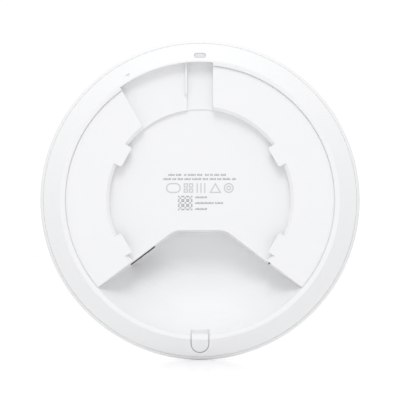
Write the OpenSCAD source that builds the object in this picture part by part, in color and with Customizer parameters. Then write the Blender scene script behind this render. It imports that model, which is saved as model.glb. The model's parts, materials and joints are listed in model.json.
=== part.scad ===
// Ceiling access point: a round domed radio unit with a twist-lock bracket recess,
// a cable bay with its network port, and a pull-out cover over the side cable exit.
// Parts are drawn lying down: X to the right, Y up the rear face, Z out of the rear
// face, rear rim at Z = 0. upright() stands them up, with the rear face towards -Y.

/* [Overall] */
// Largest diameter, across the dome
body_d = 160; // [159:0.5:162]
// Thickness from the rear rim to the middle of the dome
body_h = 33; // [33:0.25:35]
// Thickness of the moulded walls
wall = 1.8; // [1.6:0.1:1.9]
// Width of the seam between the dome's edge and the rear housing
seam = 0.2; // [0.15:0.05:0.35]
// Depth of the step that backs the seam
seam_step = 0.15; // [0.15:0.05:0.4]
// Depth of the dome's edge below the rear rim
dome_edge = 7.3; // [7:0.1:7.6]
// Depth of the dome's widest point below the rear rim
dome_widest = 9.8; // [9.6:0.1:10.2]
// How square the dome's shoulder is, as a superellipse power
dome_power = 3; // [2.8:0.1:3.4]

/* [Rear rim] */
// Radius where the rim meets the sloping band
rim_r = 69.9; // [69.6:0.1:70.2]
// Width of the rim's flat resting face
rim_flat = 0.7; // [0.5:0.1:1]
// Slope of the band between the rim and the dome
band_slope = 38.7; // [37.5:0.1:40]
// Width of the whole lip, from the rim to the groove
lip_w = 2.4; // [2.2:0.1:2.6]
// How far the lip's inner edge lies below the rim
lip_drop = 0.35; // [0.2:0.05:0.6]
// Width of the groove between the lip and the plate
groove_w = 0.4; // [0.3:0.05:0.8]
// Depth of that groove below the plate
groove_depth = 0.2; // [0.15:0.05:0.6]

/* [Bracket recess] */
// Depth of the flat plate below the rim
plate_drop = 1.3; // [1.1:0.1:1.5]
// Radius of the recess for the bracket
recess_r = 45.3; // [45:0.1:45.8]
// Depth of the recess floor below the rim
recess_depth = 6.3; // [6.1:0.1:6.4]
// Width of the chamfer round the recess
recess_chamfer = 1.6; // [1.2:0.1:1.8]
// Distance from the middle to each tab's straight edge
tab_flat_r = 42.4; // [42:0.1:43]
// Width of each tab
tab_w = 11.1; // [10:0.1:12]
// Thickness of each tab
tab_h = 2; // [1.6:0.1:2.4]

/* [Bracket arm channel] */
// Width of the channel that the bracket's arm drops into
channel_w = 12.9; // [12:0.1:13.5]
// Depth of the channel floor below the rim
channel_depth = 5.8; // [5.6:0.1:6]
// Depth of the floor that the arm sweeps over
sweep_depth = 4.8; // [4.5:0.1:5.2]
// Angle that the arm sweeps through
sweep = 30; // [28:1:32]
// Radius of the channel's outer wall
channel_r = 69; // [68.9:0.1:69.2]
// Length of the snap rib beside the channel
rib_l = 15.2; // [12:0.1:16]
// Height of the snap rib above the swept floor
rib_h = 1.7; // [1.2:0.1:2.2]
// Length of the release slot in the band
slot_l = 6; // [5:0.1:7]
// Width of the release slot
slot_w = 2.6; // [2.2:0.1:3]
// Depth of the release slot's floor below the rim
slot_depth = 3.3; // [3.1:0.1:3.6]
// Distance of the release slot from the middle
slot_r = 72.2; // [72.1:0.1:72.8]

/* [Cable bay] */
// Distance of the bay's flat top edge below the middle
bay_top = 15.1; // [14.6:0.1:15.6]
// Distance below the middle where the bay's sloping sides would meet
bay_apex = 5.45; // [5:0.05:6]
// Slope of the bay's sides
bay_slope = 37.2; // [36.5:0.1:38]
// Corner radius of the bay
bay_corner = 10; // [6:0.5:12]
// Draft of the bay's walls
bay_draft = 5; // [4:0.5:5.5]
// Depth of the bay's floor at the middle
bay_depth = 23; // [22:0.25:23]
// Depth of the edge where the bay's floor starts, below the rim
bay_edge = 0.9; // [0.7:0.1:1.1]

/* [Cable exit] */
// Width of the side cable exit
exit_w = 9.2; // [8.6:0.1:9.6]
// Depth of the exit's floor
exit_depth = 5.9; // [5.7:0.1:6.2]
// Radius that the exit's round end reaches
exit_reach = 76.4; // [76.2:0.1:76.6]
// Width of the groove round the cover in the exit
exit_gap = 0.45; // [0.4:0.05:0.5]
// Depth of that groove
exit_groove = 0.5; // [0.4:0.05:0.6]
// Distance of the cover's straight inner edge from the middle
cover_edge = 66.6; // [66.4:0.1:66.8]

/* [Network port] */
// Distance of the port from the bay's apex, along the side
port_along = 36.3; // [36:0.1:36.8]
// Width of the window in the bay's side
port_w = 15.1; // [14.5:0.1:15.4]
// Depth of the window's lower edge below the rim
port_low = 18.6; // [18.2:0.1:18.8]
// How far the jack's face stands out past the upper edge of the bay's side
port_proud = 0.85; // [0.7:0.05:0.9]

/* [Reset] */
// Distance of the reset hole from the bay's apex, along the side
reset_along = 43.4; // [42.5:0.1:43.8]
// Depth of the reset hole below the rim, where the pin's guide groove ends
reset_depth = 16.2; // [15.5:0.1:16.5]
// Diameter of the reset hole
reset_hole_d = 1.2; // [1.2:0.05:1.3]

/* [Circuit board] */
// Depth of the board's component face below the rim
board_depth = 20.8; // [20.6:0.1:20.8]
// Thickness of the board
board_t = 1.6; // [1.2:0.1:1.6]
// Radius of the board
board_r = 62; // [61:0.5:63]

/* [Light ring] */
// Middle radius of the light ring
ring_r = 23.3; // [22.5:0.1:24]
// Width of the light ring
ring_w = 2; // [1.6:0.1:2.4]
// Number of light pipes under the ring
pipe_n = 8; // [6:1:10]

/* [Hidden] */
$fn = 128;
over = 2;                 // how far a cutter runs past a surface
thin = 0.1;               // clearance between pieces that meet
curve_steps = 20;         // straight pieces in a revolved curve

// Rear skin
lip_r = rim_r - lip_w;
plate_r = lip_r - groove_w;
dome_side = 1.55;
edge_r = body_d / 2 - dome_side - seam;
edge_break = 0.1;
step_play = 0.03;
step_r = edge_r + seam - step_play;
step_z = band_z(edge_r) - seam_step;
rim_foot = 9;
step_t = 0.6;
skin_z = plate_drop + wall;
band_lean = wall / cos(band_slope);
skin_corner_r = rim_r + (skin_z - band_lean) / tan(band_slope);

// Recess, channel and tabs
tab_angles = [30, 150, 210, 330];
tab_corner = 0.7;
rib_w = 0.95;
rib_ramp = 1.8;
rib_gap = 0.6;
rib_root = 1;             // how far the rib's end runs into the wall
slot_block_r = 75.6;
slot_tunnel_w = 5.4;
slot_tunnel_h = 1.5;
mark_r = 71.6;
mark_size = 1.2;
mark_deep = 0.45;

// Bay
bay_r = lip_r - thin;
bay_round = 4;            // superellipse power along the radius
bay_fall = 1.3;           // superellipse power along the depth
exit_play = 0.15;
exit_end = exit_reach - exit_w / 2;
exit_inner = 6;           // how far the exit's trough reaches into the bay
corner_steps = 6;
corner_y = -bay_top - bay_corner;
corner_x = ((-bay_apex - corner_y) * cos(bay_slope) - bay_corner) / sin(bay_slope);

// Dome
dome_t = 2;
dome_round = 3;
ledge_t = 1.5;
ledge_in = dome_side / 3;  // how far the ledge grips into the side
clip_n = 6;
clip_w = 7;
clip_r = 74.4;
clip_nose = 0.7;
clip_arm = 0.75;
clip_play = 0.25;
clip_side = 0.5;          // room at each side of a clip
clip_rise = 1.7;
hook_h = 1.5;
hook_gap = 0.2;
catch_h = 1;
catch_t = 2 * clip_nose;
ring_bond = 0.25;         // bonding gap under the light ring

// Board, posts and screws
board_low = board_depth + board_t;
board_gap = 1.15;
post_angles = [0, 50, 130, 180];
post_r = 56;
post_d = 6;
screw_r = 1.2;
screw_play = 0.06;
screw_l = 7;
head_r = 2.4;
head_h = 1.5;
drive_r = 0.9;

// Heat sink and the pieces under it
sink_pos = [2, 18.5];
sink_size = [58, 41];
sink_base = 2;
sink_top = 10;
fin_n = 9;
fin_t = 1.4;
leg_d = 5;
leg_inset = 3.2;
shield_h = 2.8;
shield_t = 0.3;
shield_floor = board_depth - shield_h;
pad_t = 0.8;
sink_floor = shield_floor - pad_t;
processor_shield_pos = [-9, 18.5];
processor_shield_size = [28, 26];
radio_shield_pos = [18, 18.5];
radio_shield_size = [20, 26];
sink_pad_size = [18, 18];
radio_sink_pad_size = [14, 20];
processor_pos = [-13, 18.5];
processor_size = [14, 14, 1.4];
memory_pos = [0, 20];
memory_size = [7.5, 11, 1.1];
crystal_pos = [-1, 10];
crystal_size = [3.2, 2.5, 0.8];
radio_chip_y = [12, 25];
radio_chip_size = [9, 9, 0.9];
flash_pos = [6, -7.5];
flash_size = [8, 6, 1.2];

// Network jack, drawn in the frame of the bay's left side
jack_front = 1.9;
jack_w = 15.9;
jack_deep = 17.5;
jack_top = recess_depth + wall + 0.2;
port_top = 9.3;           // depth of the window's upper edge
jack_t = 0.3;
socket_w = 11.8;
socket_top = 10.4;
socket_low = 18.2;
socket_deep = 13;
latch_w = 6.2;
latch_top = 9.8;
contact_n = 8;
contact_pitch = 1.02;
contact_w = 0.4;
contact_front = 2.4;
contact_back = 11.5;
contact_rise = 1.7;
contact_t = 0.4;

// Parts of the power supply and the network side
lan_size = [15, 7, 5.8];
lan_behind = 4.8;
power_pos = [-44, 10];
power_core = [12, 10, 8.5];
core_leg = 2.3;
core_yoke = 2;
core_r = 2.2;
power_winding_r = 4.6;
inductor_spots = [[-33.5, 8], [-33.5, 17]];
inductor_size = [6, 6, 3];
capacitor_spots = [[-37, 27], [-45, 25]];
capacitor_r = 3.15;
capacitor_h = 7.7;
capacitor_base = 1;
capacitor_foot = 0.3;       // how much wider the base is than the can

// Reset switch, drawn in the frame of the bay's right side
switch_front = 3.4;
switch_size = [6, 3.6, 6.6];
button_r = 1.3;
button_front = 1.3;
button_head = 1.4;
stem_r = 0.9;
stem_l = 1.6;
stem_play = 0.05;
stem_room = 0.4;

// Antennas on the dome side of the board
antenna_angles = [15, 70, 106, 165];
antenna_r = 46;
antenna_size = [7.5, 20, 4.8];
antenna_t = 0.4;
antenna_leg_w = 3;

// Light ring, light guide and their board
ring_t = 1;
pipe_r = 1.1;
guide_top = 29.6;
guide_low = 28.2;
guide_w = 3.2;
led_board_depth = 26.2;
led_board_t = 1;
led_board_in_r = 15;
led_board_out_r = 27.5;
led_size = [1.6, 1.6, 0.6];
led_post_r = 18;
led_post_d = 4.4;
led_screw_r = 0.6;
led_screw_l = 3.4;
led_head_r = 1.4;
led_head_h = 0.9;
led_post_angles = [90, 210, 330];
ribbon_pos = [18, 8];
ribbon_w = 6;
ribbon_t = 0.3;
ribbon_reach = 9;
socket_size = [3, 8, 1];

// ---------------------------------------------------------------- helpers

function band_z(r) = -(r - rim_r) * tan(band_slope);

// One point of the dome's outline: 0 degrees at its widest, 90 in its middle
function dome_point(angle, r, h) =
    [r * pow(cos(angle), 2 / dome_power), -dome_widest - h * pow(sin(angle), 2 / dome_power)];

// One point of the bay floor's outline: 0 degrees at its edge, 90 in its middle
function bay_point(angle, grow) = [
    (bay_r + grow) * pow(cos(angle), 2 / bay_round),
    -bay_edge - grow - (bay_depth - bay_edge) * pow(sin(angle), 2 / bay_fall)
];

function curve_angles() = [for (i = [0:curve_steps]) 90 * i / curve_steps];

// Stands the access point up, rear face towards -Y
module upright() rotate([90, 0, 0]) children();

// Frame of the bay's side: Y into the body, X along the side; side is -1 or 1
module at_side(side, along) {
    translate([side * along * cos(bay_slope), -bay_apex - along * sin(bay_slope), 0])
        rotate([0, 0, -side * bay_slope]) children();
}

// Box standing between two depths, centred on X and Y
module block(size, top, low) {
    translate([-size[0] / 2, -size[1] / 2, -low]) cube([size[0], size[1], low - top]);
}

// Round bar standing between two depths
module post(r, top, low) translate([0, 0, -low]) cylinder(r = r, h = low - top);

// Places a copy at each angle round the middle
module round_the_middle(angles, r) {
    for (angle = angles) rotate([0, 0, angle]) translate([r, 0, 0]) children();
}

// Frame on the sloping band: Z out of the band, X down its slope
module on_band(angle, r) {
    rotate([0, 0, angle]) translate([r, 0, band_z(r)]) rotate([0, band_slope, 0]) children();
}

// ------------------------------------------------------------ rear housing

// Plan of the space the bracket's arm drops into and sweeps over
module arm_plan(grow, right) {
    left = channel_w / 2 + grow;
    far = rim_r + over;
    near = tab_flat_r / 2;
    intersection() {
        circle(r = channel_r + grow);
        polygon([
            [right, near], [right, far], [-far * sin(sweep) - left * cos(sweep), far],
            [-far * sin(sweep) - left * cos(sweep), far * cos(sweep) - left * sin(sweep)],
            [-near * sin(sweep) - left * cos(sweep), near * cos(sweep) - left * sin(sweep)]
        ]);
    }
}

// Half-space bounded by a drafted plane that touches a circle of radius r
module drafted_side(centre_x, angle, r) {
    span = 2 * body_d;
    translate([centre_x, corner_y, -recess_depth])
        rotate([0, 0, angle])
            translate([r, 0, 0])
                rotate([0, bay_draft, 0])
                    translate([-span, -span / 2, -span / 2])
                        cube([span, span, span]);
}

// Space between the bay's drafted sides, with rounded corners
module bay_sides(grow) {
    intersection_for(i = [-corner_steps:corner_steps])
        drafted_side(-sign(i) * corner_x, 90 + i * bay_slope / corner_steps, bay_corner + grow);
}

// The bay, from its curved floor up past the rim
module bay_space(grow, top) {
    intersection() {
        rotate_extrude() polygon(concat(
            [for (angle = curve_angles()) bay_point(angle, grow)],
            [[0, top], [bay_r + grow, top]]
        ));
        bay_sides(grow);
    }
}

// Flat trough with a round end that runs out through the rim below the bay
module exit_trough(grow, inner) {
    low = exit_depth + grow;
    translate([0, -exit_end, 0]) post(exit_w / 2 + grow, -over, low);
    translate([0, -(inner + exit_end) / 2, 0])
        block([exit_w + 2 * grow, exit_end - inner], -over, low);
}

// Everything below the outer face of the rim
module under_rim(low) {
    rotate_extrude() polygon([
        [0, -lip_drop], [lip_r, -lip_drop], [rim_r - rim_flat, 0], [rim_r, 0],
        [edge_r, band_z(edge_r)], [edge_r, -low], [0, -low]
    ]);
}

module rear_skin() {
    rotate_extrude() polygon([
        [0, -plate_drop], [plate_r, -plate_drop], [plate_r, -plate_drop - groove_depth],
        [lip_r, -plate_drop - groove_depth], [lip_r, -lip_drop], [rim_r - rim_flat, 0],
        [rim_r, 0], [edge_r - edge_break, band_z(edge_r - edge_break)],
        [edge_r, band_z(edge_r) - edge_break], [edge_r, step_z], [step_r, step_z],
        [step_r, step_z - step_t], [edge_r, step_z - step_t], [edge_r, -rim_foot],
        [edge_r - wall, -rim_foot],
        [edge_r - wall, band_z(edge_r - wall) - band_lean], [skin_corner_r, -skin_z],
        [0, -skin_z]
    ]);
}

module recess_space() {
    post(recess_r, -over, recess_depth);
    chamfer_low = plate_drop + recess_chamfer;
    translate([0, 0, -chamfer_low])
        cylinder(r1 = recess_r, r2 = recess_r + recess_chamfer, h = recess_chamfer);
    post(recess_r + recess_chamfer, -over, plate_drop);
}

module slot_space() {
    reach = (slot_l - slot_w) / 2;
    for (side = [-1, 1])
        translate([side * reach, slot_r, 0]) post(slot_w / 2, -over, slot_depth);
    translate([0, slot_r, 0]) block([2 * reach, slot_w], -over, slot_depth);
    translate([0, (channel_r - over + slot_r) / 2, 0])
        block([slot_tunnel_w, slot_r - channel_r + over], slot_depth - slot_tunnel_h, slot_depth);
}

module tabs() {
    outer = recess_r + recess_chamfer;
    for (angle = tab_angles)
        rotate([0, 0, angle])
            translate([0, 0, -plate_drop - tab_h])
                linear_extrude(height = tab_h)
                    polygon([
                        [tab_flat_r, -tab_w / 2 + tab_corner],
                        [tab_flat_r + tab_corner, -tab_w / 2], [outer, -tab_w / 2],
                        [outer, tab_w / 2], [tab_flat_r + tab_corner, tab_w / 2],
                        [tab_flat_r, tab_w / 2 - tab_corner]
                    ]);
}

module snap_rib() {
    rib_end = channel_r - rib_gap;
    translate([-channel_w / 2 - rib_w, 0, 0])
        rotate([90, 0, 90])
            linear_extrude(height = rib_w)
                polygon([
                    [rib_end - rib_l - rib_ramp, -sweep_depth - thin],
                    [rib_end - rib_l, -sweep_depth + rib_h],
                    [rib_end + rib_root, -sweep_depth + rib_h],
                    [rib_end + rib_root, -sweep_depth - thin]
                ]);
}

// Catches inside the rim that the dome's clips hook over
module catches() {
    for (i = [0:clip_n - 1])
        rotate([0, 0, i * 360 / clip_n]) {
            translate([clip_r - catch_t, -clip_w / 2, -rim_foot - catch_h])
                cube([catch_t, clip_w, rim_foot + catch_h + band_z(clip_r) - wall / 2]);
            translate([clip_r - clip_nose, -clip_w / 2, -rim_foot - catch_h])
                cube([2 * clip_nose, clip_w, catch_h]);
        }
}

module rear_housing() {
    color("whitesmoke") upright() {
        difference() {
            union() {
                rear_skin();
                post(recess_r + wall, plate_drop + wall / 2, recess_depth + wall);
                translate([0, 0, -sweep_depth - wall])
                    linear_extrude(height = sweep_depth)
                        arm_plan(wall, channel_w / 2 + wall);
                translate([0, (tab_flat_r + channel_r) / 2, 0])
                    block([channel_w + 2 * wall, channel_r - tab_flat_r], wall, channel_depth + wall);
                bay_space(wall, -wall);
                intersection() {
                    translate([0, 0, -wall / 2]) under_rim(body_h);
                    post(edge_r - wall / 2, -over, body_h);
                    union() {
                        exit_trough(wall, bay_r - wall);
                        translate([0, (channel_r + slot_block_r) / 2, 0])
                            block([slot_l + 2 * wall, slot_block_r - channel_r], -over,
                                  channel_depth + wall);
                    }
                }
                round_the_middle(post_angles, post_r)
                    post(post_d / 2, plate_drop + wall / 2, board_depth);
                catches();
            }
            recess_space();
            translate([0, 0, -sweep_depth])
                linear_extrude(height = sweep_depth + over) arm_plan(0, 0);
            intersection() {
                post(channel_r, -over, channel_depth);
                translate([0, channel_r / 2 + tab_flat_r / 2, 0])
                    block([channel_w, channel_r], -over, channel_depth);
            }
            slot_space();
            bay_space(0, over);
            exit_trough(0, bay_r - exit_inner);
            at_side(-1, port_along)
                translate([-port_w / 2, -over, -port_low])
                    cube([port_w, over + jack_front, port_low - port_top]);
            at_side(1, reset_along) {
                translate([0, over, -reset_depth])
                    rotate([90, 0, 0]) cylinder(r = reset_hole_d / 2, h = 2 * over);
                post(reset_hole_d / 2, -over, reset_depth);
            }
            round_the_middle(post_angles, post_r)
                post(screw_r + screw_play, board_depth - screw_l, board_depth + over);
            on_band(90 + sweep, mark_r)
                translate([0, 0, -mark_deep])
                    linear_extrude(height = over)
                        polygon([[mark_size, -mark_size], [mark_size, mark_size], [-mark_size, 0]]);
        }
        tabs();
        snap_rib();
    }
}

// ------------------------------------------------------------- front shell

module dome_solid(r, h, top_r, top) {
    rotate_extrude() polygon(concat(
        [[0, -top], [top_r, -top]],
        [for (angle = curve_angles()) dome_point(angle, r, h)]
    ));
}

module front_dome() {
    top_arc = asin((dome_widest - dome_edge) / dome_round);
    outer_h = body_h - dome_widest;
    inner_r = body_d / 2 - dome_side;
    arc_steps = 5;
    color("white") upright() {
        difference() {
            rotate_extrude() polygon(concat(
                [[inner_r - over, -dome_edge]],
                [for (i = [arc_steps:-1:1])
                    [body_d / 2 - dome_round * (1 - cos(top_arc * i / arc_steps)),
                     -dome_widest + dome_round * sin(top_arc * i / arc_steps)]],
                [for (angle = curve_angles()) dome_point(angle, body_d / 2, outer_h)],
                [[0, -dome_edge]]
            ));
            dome_solid(inner_r, outer_h - dome_t, inner_r, dome_edge - over);
            ring_groove();
            round_the_middle([for (i = [0:pipe_n - 1]) i * 360 / pipe_n], ring_r)
                post(pipe_r + thin, guide_top, body_h);
        }
        clip_ring();
        round_the_middle(led_post_angles, led_post_r)
            difference() {
                post(led_post_d / 2, led_board_depth + led_board_t, body_h - dome_t / 2);
                post(led_screw_r + screw_play, led_board_depth, led_board_depth + led_screw_l + thin);
            }
    }
}

// Groove in the dome's outer face for the light ring
module ring_groove() {
    difference() {
        post(ring_r + ring_w / 2, body_h - ring_t - ring_bond - thin, body_h + over);
        post(ring_r - ring_w / 2, body_h - over - ring_t, body_h + 2 * over);
    }
}

// Ledge inside the dome's edge, with the clips that hook over the catches
module clip_ring() {
    inner_r = body_d / 2 - dome_side;
    arm_in = clip_r + clip_nose + clip_play;
    difference() {
        post(inner_r + ledge_in, rim_foot + thin, rim_foot + thin + ledge_t);
        post(arm_in, 0, rim_foot + over + ledge_t);
    }
    for (i = [0:clip_n - 1])
        rotate([0, 0, i * 360 / clip_n]) {
            translate([arm_in, -clip_w / 2 + clip_side, -rim_foot - ledge_t])
                cube([clip_arm, clip_w - 2 * clip_side, ledge_t + clip_rise]);
            translate([arm_in - clip_nose, -clip_w / 2 + clip_side, -rim_foot + hook_gap])
                cube([clip_nose + thin, clip_w - 2 * clip_side, hook_h]);
        }
}

module light_ring() {
    play = thin / 2;
    color("gainsboro") upright() intersection() {
        difference() {
            post(ring_r + ring_w / 2 - play, body_h - ring_t - ring_bond, body_h);
            post(ring_r - ring_w / 2 + play, body_h - over - ring_t, body_h + over);
        }
        dome_solid(body_d / 2, body_h - dome_widest, body_d / 2, dome_edge);
    }
}

module light_guide() {
    color("lightcyan") upright() {
        difference() {
            post(ring_r + guide_w / 2, guide_low, guide_top);
            post(ring_r - guide_w / 2, guide_low - over, guide_top + over);
        }
        round_the_middle([for (i = [0:pipe_n - 1]) i * 360 / pipe_n], ring_r)
            post(pipe_r, guide_top - thin, body_h - ring_t - ring_bond - thin);
    }
}

// Snap-in cover, stepped down round its edge where it comes close to the exit
module cable_exit_cover() {
    color("whitesmoke") upright() {
        intersection() {
            under_rim(body_h);
            exit_trough(-exit_gap, cover_edge);
        }
        intersection() {
            translate([0, 0, -exit_groove]) under_rim(body_h);
            exit_trough(-exit_play, cover_edge);
        }
    }
}

// --------------------------------------------------------------- main board

module main_board() {
    color("darkgreen") upright() difference() {
        post(board_r, board_depth, board_low);
        bay_plan_cut();
        round_the_middle(post_angles, post_r) post(screw_r + thin, 0, body_h);
        sink_corners() post(screw_r + thin, 0, body_h);
    }
}

// Straight-sided copy of the bay's plan, cleared by the board's gap
module bay_plan_cut() {
    reach = bay_corner + wall + board_gap;
    intersection_for(i = [-corner_steps:corner_steps])
        translate([-sign(i) * corner_x, corner_y, 0])
            rotate([0, 0, 90 + i * bay_slope / corner_steps])
                translate([reach - 2 * body_d, -body_d, -2 * body_h])
                    cube([2 * body_d, 2 * body_d, 2 * body_h]);
}

// Screw with its head on the dome side; depth is where the head sits
module screw(r, l, top_r, top_h, depth) {
    difference() {
        union() {
            post(r, depth - l, depth + thin);
            post(top_r, depth, depth + top_h);
        }
        translate([0, 0, -depth - top_h - thin]) cylinder(r = drive_r, h = top_h / 2 + thin, $fn = 6);
    }
}

module board_screws() {
    color("silver") upright() round_the_middle(post_angles, post_r)
        screw(screw_r, screw_l + board_t - 1, head_r, head_h, board_low);
}

// Places a copy at each corner of the heat sink
module sink_corners() {
    for (x = [-1, 1], y = [-1, 1])
        translate([
            sink_pos[0] + x * (sink_size[0] / 2 - leg_inset),
            sink_pos[1] + y * (sink_size[1] / 2 - leg_inset), 0
        ]) children();
}

module heat_sink() {
    color("lightgrey") upright() difference() {
        union() {
            translate(sink_pos) block(sink_size, sink_floor - sink_base, sink_floor);
            pitch = (sink_size[1] - 2 * leg_inset - leg_d - fin_t) / (fin_n - 1);
            for (i = [0:fin_n - 1])
                translate([sink_pos[0], sink_pos[1] + (i - (fin_n - 1) / 2) * pitch, 0])
                    block([sink_size[0], fin_t], sink_top, sink_floor - sink_base / 2);
            sink_corners() post(leg_d / 2, sink_floor - sink_base / 2, board_depth);
        }
        sink_corners() post(screw_r + screw_play, sink_floor - sink_base / 2, board_depth + over);
    }
}

module heat_sink_screws() {
    color("silver") upright() sink_corners()
        screw(screw_r, board_low - sink_floor, head_r, head_h, board_low);
}

module heat_sink_pads() {
    color("lightsteelblue") upright() {
        translate(processor_shield_pos) block(sink_pad_size, sink_floor, shield_floor);
        translate(radio_shield_pos) block(radio_sink_pad_size, sink_floor, shield_floor);
    }
}

// Tin can over part of the board
module shield(pos, size) {
    translate(pos) difference() {
        block(size, shield_floor, board_depth);
        block([size[0] - 2 * shield_t, size[1] - 2 * shield_t],
              shield_floor + shield_t, board_depth + over);
    }
}

module processor_shield() color("silver") upright() shield(processor_shield_pos, processor_shield_size);

module radio_shield() color("silver") upright() shield(radio_shield_pos, radio_shield_size);

// Chip standing on the board
module chip(pos, size) translate(pos) block(size, board_depth - size[2], board_depth);

// Soft pad between a chip and the shield over it
module chip_pad(pos, size) {
    translate(pos) block(size, shield_floor + shield_t, board_depth - size[2]);
}

module processor() color("dimgray") upright() chip(processor_pos, processor_size);

module processor_pad() color("lightsteelblue") upright() chip_pad(processor_pos, processor_size);

module memory_chip() color("dimgray") upright() chip(memory_pos, memory_size);

module crystal() color("silver") upright() chip(crystal_pos, crystal_size);

module radio_chips() {
    color("dimgray") upright()
        for (y = radio_chip_y) chip([radio_shield_pos[0], y], radio_chip_size);
}

module radio_pads() {
    color("lightsteelblue") upright()
        for (y = radio_chip_y) chip_pad([radio_shield_pos[0], y], radio_chip_size);
}

module flash_chip() color("dimgray") upright() chip(flash_pos, flash_size);

// -------------------------------------------------------------- network jack

// Box in the left side's frame: x, then y from the jack's front, between depths
module jack_box(w, near, far, top, low) {
    translate([-w / 2, jack_front + near, -low]) cube([w, far - near, low - top]);
}

module jack_shell() {
    color("silver") upright() at_side(-1, port_along) difference() {
        jack_box(jack_w, 0, jack_deep, jack_top, board_depth);
        jack_box(jack_w - 2 * jack_t, -over, jack_deep - jack_t, jack_top + jack_t,
                 board_depth + over);
    }
}

module jack_insert() {
    face = -jack_front - port_proud;
    color("dimgray") upright() at_side(-1, port_along) difference() {
        union() {
            jack_box(jack_w - 2 * jack_t - thin, 0, jack_deep - jack_t - thin,
                     jack_top + jack_t + thin, board_depth);
            jack_box(port_w - 2 * thin, face, jack_t, port_top + thin, port_low - thin);
        }
        jack_box(socket_w, face - over, face + socket_deep, socket_top, socket_low);
        jack_box(latch_w, face - over, face + socket_deep, latch_top, socket_top + over);
    }
}

module jack_contacts() {
    rise_low = -socket_low + thin;
    color("gold") upright() at_side(-1, port_along)
        for (i = [0:contact_n - 1])
            translate([(i - (contact_n - 1) / 2) * contact_pitch - contact_w / 2, -port_proud, 0])
                rotate([90, 0, 90])
                    linear_extrude(height = contact_w)
                        polygon([
                            [contact_front, rise_low], [contact_back, rise_low],
                            [contact_back, rise_low + contact_rise],
                            [contact_back - contact_t, rise_low + contact_rise],
                            [contact_front, rise_low + contact_t]
                        ]);
}

// ------------------------------------------------------- power and network

module lan_transformer() {
    color("dimgray") upright() at_side(-1, port_along)
        translate([0, jack_front + jack_deep + lan_behind, 0])
            block(lan_size, board_depth - lan_size[2], board_depth);
}

module power_transformer_core() {
    leg_top = board_depth - power_core[2];
    color("dimgray") upright() translate(power_pos) {
        difference() {
            block(power_core, leg_top, board_depth);
            block([power_core[0] - 2 * core_leg, power_core[1] + over],
                  leg_top + core_yoke, board_depth - core_yoke);
        }
        post(core_r, leg_top + core_yoke / 2, board_depth - core_yoke / 2);
    }
}

module power_transformer_winding() {
    leg_top = board_depth - power_core[2];
    color("darkorange") upright() translate(power_pos) difference() {
        intersection() {
            post(power_winding_r, leg_top + core_yoke + thin, board_depth - core_yoke - thin);
            block([power_core[0] - 2 * core_leg - 2 * thin, power_core[1] + over], 0, body_h);
        }
        post(core_r + thin, 0, body_h);
    }
}

module power_inductors() {
    color("dimgray") upright()
        for (spot = inductor_spots) chip(spot, inductor_size);
}

module capacitors() {
    base = 2 * capacitor_r + capacitor_foot;
    color("silver") upright()
        for (spot = capacitor_spots) {
            chip(spot, [base, base, capacitor_base]);
            translate(spot) post(capacitor_r, board_depth - capacitor_h, board_depth - capacitor_base / 2);
        }
}

// ------------------------------------------------------------------- reset

module reset_switch() {
    color("dimgray") upright() at_side(1, reset_along) difference() {
        translate([-switch_size[0] / 2, switch_front, -board_depth]) cube(switch_size);
        translate([0, switch_front + stem_l + stem_room, -reset_depth])
            rotate([90, 0, 0]) cylinder(r = stem_r + stem_play, h = stem_l + over);
    }
}

module reset_button() {
    color("white") upright() at_side(1, reset_along)
        translate([0, button_front, -reset_depth]) rotate([-90, 0, 0]) {
            cylinder(r = button_r, h = button_head);
            cylinder(r = stem_r, h = button_head + stem_l);
        }
}

// ----------------------------------------------------------------- antennas

// Bent strip: a top plate held off the board by a long and a short leg
module antenna(index) {
    top = board_low + antenna_size[2];
    color("silver") upright() rotate([0, 0, antenna_angles[index - 1]])
        translate([antenna_r, 0, 0]) {
            translate([0, -antenna_size[1] / 2, -top])
                cube([antenna_size[0], antenna_size[1], antenna_t]);
            translate([0, -antenna_size[1] / 2, -top])
                cube([antenna_t, antenna_leg_w, antenna_size[2]]);
            translate([0, -antenna_leg_w / 2, -top])
                cube([antenna_t, antenna_leg_w, antenna_size[2]]);
            translate([0, antenna_size[1] / 2 - antenna_t, -top])
                cube([antenna_size[0], antenna_t, antenna_size[2] / 2]);
        }
}

// ------------------------------------------------------------- light board

module led_board() {
    color("darkgreen") upright() difference() {
        post(led_board_out_r, led_board_depth, led_board_depth + led_board_t);
        post(led_board_in_r, 0, body_h);
        round_the_middle(led_post_angles, led_post_r) post(led_screw_r + thin, 0, body_h);
    }
}

module leds() {
    color("lightyellow") upright()
        round_the_middle([for (i = [0:pipe_n - 1]) i * 360 / pipe_n], ring_r)
            block(led_size, led_board_depth + led_board_t, led_board_depth + led_board_t + led_size[2]);
}

// Flat cable that folds from the main board's socket to the light board's
module led_ribbon() {
    high = board_low + socket_size[2] / 2;
    low = led_board_depth - socket_size[2] / 2;
    end = socket_size[0] / 2;
    color("goldenrod") upright() translate([ribbon_pos[0], ribbon_pos[1] + ribbon_w / 2, 0])
        rotate([90, 0, 0]) linear_extrude(height = ribbon_w) polygon([
            [end, -high], [ribbon_reach, -high], [ribbon_reach, -low], [end, -low],
            [end, -low + ribbon_t], [ribbon_reach - ribbon_t, -low + ribbon_t],
            [ribbon_reach - ribbon_t, -high - ribbon_t], [end, -high - ribbon_t]
        ]);
}

module ribbon_sockets() {
    color("ivory") upright() translate(ribbon_pos) {
        block(socket_size, board_low, board_low + socket_size[2]);
        block(socket_size, led_board_depth - socket_size[2], led_board_depth);
    }
}

module led_board_screws() {
    color("silver") upright() round_the_middle(led_post_angles, led_post_r)
        mirror([0, 0, 1]) translate([0, 0, 2 * led_board_depth])
            screw(led_screw_r, led_screw_l, led_head_r, led_head_h, led_board_depth);
}

// ------------------------------------------------------------------- nodes

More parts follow.
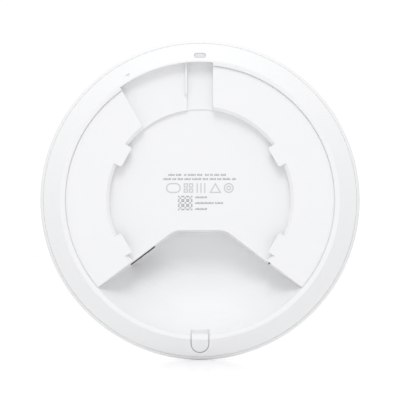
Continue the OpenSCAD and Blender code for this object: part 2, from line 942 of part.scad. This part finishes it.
rear_housing();
front_dome();
light_ring();
light_guide();
cable_exit_cover();
main_board();
board_screws();
heat_sink();
heat_sink_screws();
heat_sink_pads();
processor_shield();
radio_shield();
processor();
processor_pad();
memory_chip();
crystal();
radio_chips();
radio_pads();
flash_chip();
jack_shell();
jack_insert();
jack_contacts();
lan_transformer();
power_transformer_core();
power_transformer_winding();
power_inductors();
capacitors();
reset_switch();
reset_button();
antenna(1);  // antenna_1
antenna(2);  // antenna_2
antenna(3);  // antenna_3
antenna(4);  // antenna_4
led_board();
leds();
led_ribbon();
ribbon_sockets();
led_board_screws();
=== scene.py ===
"""Looks of the ceiling access point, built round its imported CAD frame."""

import json
import math

import bmesh
import bpy
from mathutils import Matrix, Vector


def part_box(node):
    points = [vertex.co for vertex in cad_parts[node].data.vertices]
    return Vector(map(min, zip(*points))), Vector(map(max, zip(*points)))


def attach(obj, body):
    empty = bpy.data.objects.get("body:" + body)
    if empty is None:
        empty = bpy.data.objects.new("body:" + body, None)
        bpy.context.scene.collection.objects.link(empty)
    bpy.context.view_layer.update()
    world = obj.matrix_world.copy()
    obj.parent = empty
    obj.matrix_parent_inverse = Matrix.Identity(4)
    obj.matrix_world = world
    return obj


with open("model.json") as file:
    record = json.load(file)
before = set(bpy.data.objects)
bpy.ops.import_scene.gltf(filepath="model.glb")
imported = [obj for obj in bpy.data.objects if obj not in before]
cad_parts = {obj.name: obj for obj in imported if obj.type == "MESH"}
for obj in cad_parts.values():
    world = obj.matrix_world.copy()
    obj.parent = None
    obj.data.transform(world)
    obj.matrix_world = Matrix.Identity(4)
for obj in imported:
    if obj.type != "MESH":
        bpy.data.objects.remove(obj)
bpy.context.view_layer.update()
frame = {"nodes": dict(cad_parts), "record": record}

MM = 0.001
HOUSING = "housing"

# Places worked out from the frame. The rear face looks towards -Y.
DOME_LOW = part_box("front_dome")[0]
REAR_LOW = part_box("rear_housing")[0]
OPENINGS = {entry["name"]: entry["box_m"] for entry in frame["record"]["physics"]["openings"]}
OPENING_ROOM = 0.1 * MM       # the recess's box ends this far above its floor
RECESS_FLOOR_Y = OPENINGS["bracket_recess"][1][1] + OPENING_ROOM


# ------------------------------------------------------------------ materials

NOISE_LOW, NOISE_HIGH = 0.3, 0.7   # where most of a noise texture's values lie
BROAD_DETAIL, FINE_DETAIL = 3.0, 2.0
EDGE_SAMPLES = 8
MOULD_EDGE = 0.22 * MM        # radius that the white mouldings' edges are shaded with
MOULD_GRAIN = 5200.0          # waves per metre
BOARD_GRAIN = 2600.0
WHITE = 0.79


def new_material(name):
    """An empty node material with its Principled shader and output."""
    material = bpy.data.materials.new(name)
    material.use_nodes = True
    return material, material.node_tree.nodes, material.node_tree.links


def add_noise(nodes, links, scale, detail, coordinates):
    """A noise texture in object space, scale in waves per metre."""
    noise = nodes.new("ShaderNodeTexNoise")
    noise.inputs["Scale"].default_value = scale
    noise.inputs["Detail"].default_value = detail
    links.new(coordinates.outputs["Object"], noise.inputs["Vector"])
    return noise


def add_range(nodes, links, source, low, high):
    """A noise's middle range spread over low to high."""
    spread = nodes.new("ShaderNodeMapRange")
    spread.inputs["From Min"].default_value = NOISE_LOW
    spread.inputs["From Max"].default_value = NOISE_HIGH
    spread.inputs["To Min"].default_value = low
    spread.inputs["To Max"].default_value = high
    links.new(source, spread.inputs["Value"])
    return spread.outputs["Result"]


def surface(name, color, second, grain, roughness, bump, metal=0.0, coarse=90.0,
            stretch=None, coat=0.0, sheen=0.0, subsurface=0.0, transmission=0.0,
            edge=0.0):
    """A material with colour drift, fine grain, and roughness and bump from its nodes.

    It drifts between the colours color and second, in coarse waves per metre. Its grain
    has grain waves per metre, which stretch draws out. roughness is its lowest and highest,
    bump its strength and its depth in metres, and edge the radius that sharp edges are
    shaded with.
    """
    material, nodes, links = new_material(name)
    shader = nodes["Principled BSDF"]
    shader.inputs["Metallic"].default_value = metal
    shader.inputs["Coat Weight"].default_value = coat
    shader.inputs["Sheen Weight"].default_value = sheen
    shader.inputs["Subsurface Weight"].default_value = subsurface
    shader.inputs["Transmission Weight"].default_value = transmission
    coordinates = nodes.new("ShaderNodeTexCoord")
    broad = add_noise(nodes, links, coarse, BROAD_DETAIL, coordinates)
    fine = add_noise(nodes, links, grain, FINE_DETAIL, coordinates)
    if stretch:
        mapping = nodes.new("ShaderNodeMapping")
        mapping.inputs["Scale"].default_value = stretch
        links.new(coordinates.outputs["Object"], mapping.inputs["Vector"])
        links.new(mapping.outputs["Vector"], fine.inputs["Vector"])
    mix = nodes.new("ShaderNodeMix")
    mix.data_type = "RGBA"
    mix.inputs["A"].default_value = (*color, 1)
    mix.inputs["B"].default_value = (*second, 1)
    links.new(add_range(nodes, links, broad.outputs["Fac"], 0.0, 1.0), mix.inputs["Factor"])
    links.new(mix.outputs["Result"], shader.inputs["Base Color"])
    links.new(add_range(nodes, links, fine.outputs["Fac"], roughness[0], roughness[1]),
              shader.inputs["Roughness"])
    relief = nodes.new("ShaderNodeBump")
    relief.inputs["Strength"].default_value = bump[0]
    relief.inputs["Distance"].default_value = bump[1]
    links.new(fine.outputs["Fac"], relief.inputs["Height"])
    if edge:
        rounded = nodes.new("ShaderNodeBevel")
        rounded.samples = EDGE_SAMPLES
        rounded.inputs["Radius"].default_value = edge
        links.new(rounded.outputs["Normal"], relief.inputs["Normal"])
    links.new(relief.outputs["Normal"], shader.inputs["Normal"])
    return material


def moulded_white(name, level):
    """Pale satin plastic with a fine spark-eroded grain."""
    color = (level, level * 1.006, level * 1.012)
    second = (level * 0.994, level * 1.001, level * 1.009)
    return surface(name, color, second, MOULD_GRAIN, roughness=(0.42, 0.56),
                   bump=(0.06, 0.00003), edge=MOULD_EDGE)


def make_materials():
    """One material for each slot of the record."""
    return {
        "housing_plastic": moulded_white("housing_plastic", WHITE),
        "dome_plastic": moulded_white("dome_plastic", WHITE),
        "light_diffuser": surface("light_diffuser", (0.74, 0.77, 0.80), (0.70, 0.74, 0.78),
                                  2600.0, (0.25, 0.38), (0.05, 0.00003), subsurface=0.2),
        "clear_guide": surface("clear_guide", (0.85, 0.9, 0.92), (0.8, 0.86, 0.9),
                               2600.0, (0.08, 0.16), (0.03, 0.00003), transmission=0.6),
        "board": board_material(),
        "aluminium": surface("aluminium", (0.62, 0.63, 0.64), (0.54, 0.55, 0.57),
                             3000.0, (0.32, 0.5), (0.25, 0.00006), metal=1.0),
        "tin_plate": surface("tin_plate", (0.66, 0.66, 0.64), (0.58, 0.58, 0.57),
                             900.0, (0.2, 0.36), (0.08, 0.00004), metal=1.0,
                             stretch=(1.0, 1.0, 9.0)),
        "screw_steel": surface("screw_steel", (0.5, 0.5, 0.49), (0.4, 0.4, 0.4),
                               4000.0, (0.28, 0.45), (0.12, 0.00004), metal=1.0),
        "chip_black": surface("chip_black", (0.022, 0.022, 0.024), (0.03, 0.03, 0.032),
                              5200.0, (0.5, 0.7), (0.2, 0.00004)),
        "thermal_pad": surface("thermal_pad", (0.28, 0.38, 0.5), (0.24, 0.33, 0.45),
                               2600.0, (0.75, 0.9), (0.3, 0.00006)),
        "port_plastic": surface("port_plastic", (0.02, 0.022, 0.028), (0.028, 0.03, 0.036),
                                4200.0, (0.35, 0.5), (0.1, 0.00003)),
        "contact_gold": surface("contact_gold", (0.83, 0.6, 0.24), (0.74, 0.52, 0.2),
                                5200.0, (0.15, 0.3), (0.05, 0.00002), metal=1.0),
        "ferrite": surface("ferrite", (0.045, 0.045, 0.05), (0.065, 0.065, 0.07),
                           3800.0, (0.55, 0.8), (0.5, 0.00008)),
        "winding_tape": surface("winding_tape", (0.72, 0.45, 0.06), (0.62, 0.37, 0.05),
                                1800.0, (0.2, 0.4), (0.1, 0.00006)),
        "capacitor_can": surface("capacitor_can", (0.6, 0.6, 0.61), (0.55, 0.55, 0.57),
                                 1600.0, (0.18, 0.3), (0.06, 0.00003), metal=1.0),
        "led_body": surface("led_body", (0.8, 0.76, 0.5), (0.85, 0.82, 0.62),
                            2600.0, (0.15, 0.3), (0.05, 0.00002)),
        "ribbon_film": surface("ribbon_film", (0.55, 0.26, 0.05), (0.48, 0.22, 0.04),
                               1400.0, (0.2, 0.34), (0.06, 0.00003), stretch=(1.0, 1.0, 6.0)),
        "socket_plastic": surface("socket_plastic", (0.7, 0.66, 0.55), (0.66, 0.62, 0.5),
                                  3600.0, (0.45, 0.6), (0.1, 0.00003)),
        "print_dark": surface("print_dark", (0.36, 0.365, 0.37), (0.4, 0.4, 0.405),
                              4200.0, (0.55, 0.7), (0.05, 0.00001)),
        "print_pale": surface("print_pale", (0.54, 0.545, 0.55), (0.57, 0.57, 0.575),
                              4200.0, (0.55, 0.7), (0.05, 0.00001)),
        "button_plastic": surface("button_plastic", (0.7, 0.7, 0.7), (0.66, 0.66, 0.67),
                                  3600.0, (0.4, 0.55), (0.08, 0.00003)),
    }


def board_material():
    """Green solder mask with faint tracks under it."""
    material, nodes, links = new_material("board")
    shader = nodes["Principled BSDF"]
    coordinates = nodes.new("ShaderNodeTexCoord")
    tracks = nodes.new("ShaderNodeTexBrick")
    tracks.inputs["Scale"].default_value = 420.0
    tracks.inputs["Mortar Size"].default_value = 0.08
    tracks.inputs["Color1"].default_value = (0.012, 0.10, 0.045, 1)
    tracks.inputs["Color2"].default_value = (0.016, 0.12, 0.055, 1)
    tracks.inputs["Mortar"].default_value = (0.03, 0.2, 0.09, 1)
    mapping = nodes.new("ShaderNodeMapping")
    mapping.inputs["Rotation"].default_value = (math.pi / 2, 0, 0)
    links.new(coordinates.outputs["Object"], mapping.inputs["Vector"])
    links.new(mapping.outputs["Vector"], tracks.inputs["Vector"])
    links.new(tracks.outputs["Color"], shader.inputs["Base Color"])
    grain = add_noise(nodes, links, BOARD_GRAIN, FINE_DETAIL, coordinates)
    links.new(add_range(nodes, links, grain.outputs["Fac"], 0.22, 0.4),
              shader.inputs["Roughness"])
    relief = nodes.new("ShaderNodeBump")
    relief.inputs["Strength"].default_value = 0.2
    relief.inputs["Distance"].default_value = 0.00005
    links.new(tracks.outputs["Fac"], relief.inputs["Height"])
    links.new(relief.outputs["Normal"], shader.inputs["Normal"])
    return material


def dress_nodes(materials):
    """Gives every CAD node the material of its slot."""
    for part in frame["record"]["subparts"]:
        obj = frame["nodes"][part["node"]]
        obj.data.materials.clear()
        obj.data.materials.append(materials[part["material_slot"]])


# ------------------------------------------------------------ print on the floor

INK_T = 0.03 * MM             # the ink's own thickness
INK_SUNK = 0.01 * MM          # keeps its back just inside the plastic
STROKE = 0.62 * MM            # of the pale figures
BLOCK = 0.5 * MM              # width of a block that stands for a letter
BLOCK_GAP = 0.17 * MM
WORD_GAP = 0.62 * MM
BLOCK_H = 1.0 * MM
LOW_BLOCK = 0.72              # share of the height that the lower blocks have
CELL_FILL = 0.9               # share of its pitch that a lattice cell fills
ROUND_SIDES = 40              # straight pieces in a round figure


def add_prism(shape, outline, hole=()):
    """Ink with a given outline, and a hole of as many points if one is given."""
    rear, front = RECESS_FLOOR_Y + INK_SUNK, RECESS_FLOOR_Y - INK_T
    rings = [[[shape.verts.new((x, y, z)) for x, z in line] for y in (rear, front)]
             for line in (outline, hole) if line]
    count = len(outline)
    for ring in rings:
        for i in range(count):
            j = (i + 1) % count
            shape.faces.new((ring[0][i], ring[0][j], ring[1][j], ring[1][i]))
    for level in (0, 1):
        if not hole:
            shape.faces.new(rings[0][level])
            continue
        for i in range(count):
            j = (i + 1) % count
            shape.faces.new((rings[0][level][i], rings[0][level][j],
                             rings[1][level][j], rings[1][level][i]))


def box_outline(left, right, low, high):
    """A rectangle's four corners, in order."""
    return [(left, low), (right, low), (right, high), (left, high)]


def regular_outline(x, z, radius, sides, turn=0.0):
    """A regular polygon, or a circle when it has many sides."""
    angles = [turn + math.tau * i / sides for i in range(sides)]
    return [(x + radius * math.cos(a), z + radius * math.sin(a)) for a in angles]


def add_words(shape, left, z, words):
    """A row of plain blocks that stands for a line of small print: no letters.

    words holds the blocks in each word; a 0 leaves a wider gap.
    """
    x, low = left, z - BLOCK_H / 2
    for index, count in enumerate(words):
        for i in range(count):
            rise = BLOCK_H if (i * 2 + index) % 3 else BLOCK_H * LOW_BLOCK
            add_prism(shape, box_outline(x, x + BLOCK, low, low + rise))
            x += BLOCK + BLOCK_GAP
        x += WORD_GAP


def add_lattice(shape, left, top, size, cells):
    """A square ornament that is the same on all four sides, so it holds no data."""
    pitch = size / cells
    cell = CELL_FILL * pitch
    middle = (cells - 1) / 2
    for row in range(cells):
        for column in range(cells):
            ring = abs(row - middle) ** 2 + abs(column - middle) ** 2
            if int(ring) % 3 in (0, 2):
                x, z = left + column * pitch, top - row * pitch
                add_prism(shape, box_outline(x, x + cell, z - cell, z))


def add_frame(shape, outline_of, radius, sides):
    """An outline of even stroke; outline_of gives the points at a radius."""
    inner = radius - STROKE / math.cos(math.pi / sides)
    add_prism(shape, outline_of(radius), outline_of(inner))


def add_signs(shape, z, reach):
    """Five plain figures in a row: capsule, tiles, bars, triangle and ring.

    reach is the half height that they share.
    """
    capsule_x, half = -13.3 * MM, 1.2 * MM
    tile_x, tile, tile_reach = -5.8 * MM, reach * 0.62, reach * 0.52
    bar_x, bar_pitch = 0.5 * MM, 1.9 * MM
    triangle_x, triangle = 7.7 * MM, reach * 1.4
    ring_x = 14.4 * MM

    def capsule(radius):
        points = regular_outline(0, 0, radius, ROUND_SIDES)
        return [(capsule_x + x + math.copysign(half, x), z + y) for x, y in points]

    add_frame(shape, capsule, reach, ROUND_SIDES)
    for side in (-1, 1):
        for rise in (-1, 1):
            x, y = tile_x + side * tile_reach, z + rise * tile_reach
            add_frame(shape, lambda radius: regular_outline(x, y, radius, 4, math.pi / 4),
                      tile, 4)
    for i in (-1, 0, 1):
        x = bar_x + i * bar_pitch
        add_prism(shape, box_outline(x - STROKE / 2, x + STROKE / 2, z - reach, z + reach))
    low = z - reach + triangle / 2
    add_frame(shape, lambda radius: regular_outline(triangle_x, low, radius, 3, math.pi / 2),
              triangle, 3)
    for radius in (reach, reach / 2):
        add_frame(shape, lambda r: regular_outline(ring_x, z, r, ROUND_SIDES),
                  radius, ROUND_SIDES)


def add_print(name, material, draw):
    """One closed piece of ink that rides on the housing."""
    mesh = bpy.data.meshes.new(name)
    shape = bmesh.new()
    draw(shape)
    bmesh.ops.recalc_face_normals(shape, faces=shape.faces)
    shape.to_mesh(mesh)
    shape.free()
    mesh.materials.append(material)
    piece = bpy.data.objects.new(name, mesh)
    bpy.context.collection.objects.link(piece)
    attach(piece, HOUSING)


def draw_dark_print(shape):
    """Two long lines, the lattice below them and three short lines beside it."""
    add_words(shape, -15.9 * MM, 12.6 * MM, (5, 4, 0, 2, 6, 4, 0, 3, 2, 4, 4))
    add_words(shape, -18.4 * MM, 10.5 * MM, (6, 3, 4, 5, 7, 4, 5, 3, 6, 3))
    add_lattice(shape, -11.0 * MM, 2.1 * MM, 7.3 * MM, 9)
    for z, words in ((1.35, (9,)), (-1.5, (14, 6)), (-4.5, (9,))):
        add_words(shape, -2.4 * MM, z * MM, words)


def draw_pale_print(shape):
    """The figures between the long lines and the lattice."""
    add_signs(shape, 6.0 * MM, 2.5 * MM)


# ------------------------------------------------------- camera, light, floor

FRAME_WIDTH = 200.4 * MM      # what the picture's width spans at the object
FOCUS_DEPTH = 10 * MM         # depth behind the rear face at which it spans that
CAMERA_DISTANCE = 3.2
LENS = 50.0
SENSOR = LENS * FRAME_WIDTH / CAMERA_DISTANCE
ROOM_LIGHT = 0.82             # strength of the white room on the object
ROOM_SEEN = 1.05              # strength with which it shows and mirrors
FLOOR_GLOW = 0.11             # keeps the floor as white as the backdrop
FLOOR_GAP = 0.02 * MM
FLOOR_HALF = 6.0


def add_camera():
    """A long lens level with the middle of the unit, straight onto its rear face."""
    data = bpy.data.cameras.new("camera")
    data.lens = LENS
    data.sensor_width = SENSOR
    data.clip_start = 0.01
    camera = bpy.data.objects.new("camera", data)
    middle_y = REAR_LOW[1] + FOCUS_DEPTH
    camera.location = (0, middle_y - CAMERA_DISTANCE, 0)
    camera.rotation_euler = (math.pi / 2, 0, 0)
    bpy.context.collection.objects.link(camera)
    bpy.context.scene.camera = camera


def add_area(name, place, size, power):
    """A soft rectangular light that looks at the middle of the rear rim."""
    data = bpy.data.lights.new(name, "AREA")
    data.shape = "RECTANGLE"
    data.size, data.size_y = size
    data.energy = power
    light = bpy.data.objects.new(name, data)
    light.location = place
    light.rotation_euler = (-Vector(place)).to_track_quat("-Z", "Y").to_euler()
    bpy.context.collection.objects.link(light)


def add_world(light, seen):
    """A white studio that lights softly and shows, and mirrors, as a brighter backdrop."""
    world = bpy.data.worlds.new("studio")
    world.use_nodes = True
    nodes, links = world.node_tree.nodes, world.node_tree.links
    nodes["Background"].inputs["Color"].default_value = (1, 1, 1, 1)
    path = nodes.new("ShaderNodeLightPath")
    strength = nodes.new("ShaderNodeMapRange")
    strength.inputs["To Min"].default_value = light
    strength.inputs["To Max"].default_value = seen
    direct = nodes.new("ShaderNodeMath")
    direct.operation = "MAXIMUM"
    links.new(path.outputs["Is Camera Ray"], direct.inputs[0])
    links.new(path.outputs["Is Glossy Ray"], direct.inputs[1])
    links.new(direct.outputs["Value"], strength.inputs["Value"])
    links.new(strength.outputs["Result"], nodes["Background"].inputs["Strength"])
    bpy.context.scene.world = world


def add_floor():
    """A wide plain pale floor just under the rim."""
    mesh = bpy.data.meshes.new("floor")
    shape = bmesh.new()
    bmesh.ops.create_grid(shape, x_segments=4, y_segments=4, size=FLOOR_HALF)
    shape.to_mesh(mesh)
    shape.free()
    floor = bpy.data.objects.new("floor", mesh)
    floor.location = (0, 0, DOME_LOW[2] - FLOOR_GAP)
    material = surface("floor", (0.95, 0.95, 0.95), (0.94, 0.94, 0.94), grain=40.0,
                       roughness=(0.34, 0.4), bump=(0.01, 0.0001), coat=0.7)
    shader = material.node_tree.nodes["Principled BSDF"]
    shader.inputs["Coat Roughness"].default_value = 0.12
    shader.inputs["Emission Color"].default_value = (1, 1, 1, 1)
    shader.inputs["Emission Strength"].default_value = FLOOR_GLOW
    floor.data.materials.append(material)
    bpy.context.collection.objects.link(floor)


# -------------------------------------------------------------------- scene

MATERIALS = make_materials()
dress_nodes(MATERIALS)
add_print("recess_print_dark", MATERIALS["print_dark"], draw_dark_print)
add_print("recess_print_pale", MATERIALS["print_pale"], draw_pale_print)
add_camera()
add_world(ROOM_LIGHT, ROOM_SEEN)
add_area("front_softbox", place=(-0.08, -1.3, 1.5), size=(0.8, 0.7), power=11)
add_area("top_softbox", place=(-0.06, -0.8, 1.8), size=(1.6, 1.4), power=5.2)
add_floor()
bpy.context.scene.view_settings.view_transform = "Standard"
bpy.context.scene.view_settings.look = "None"
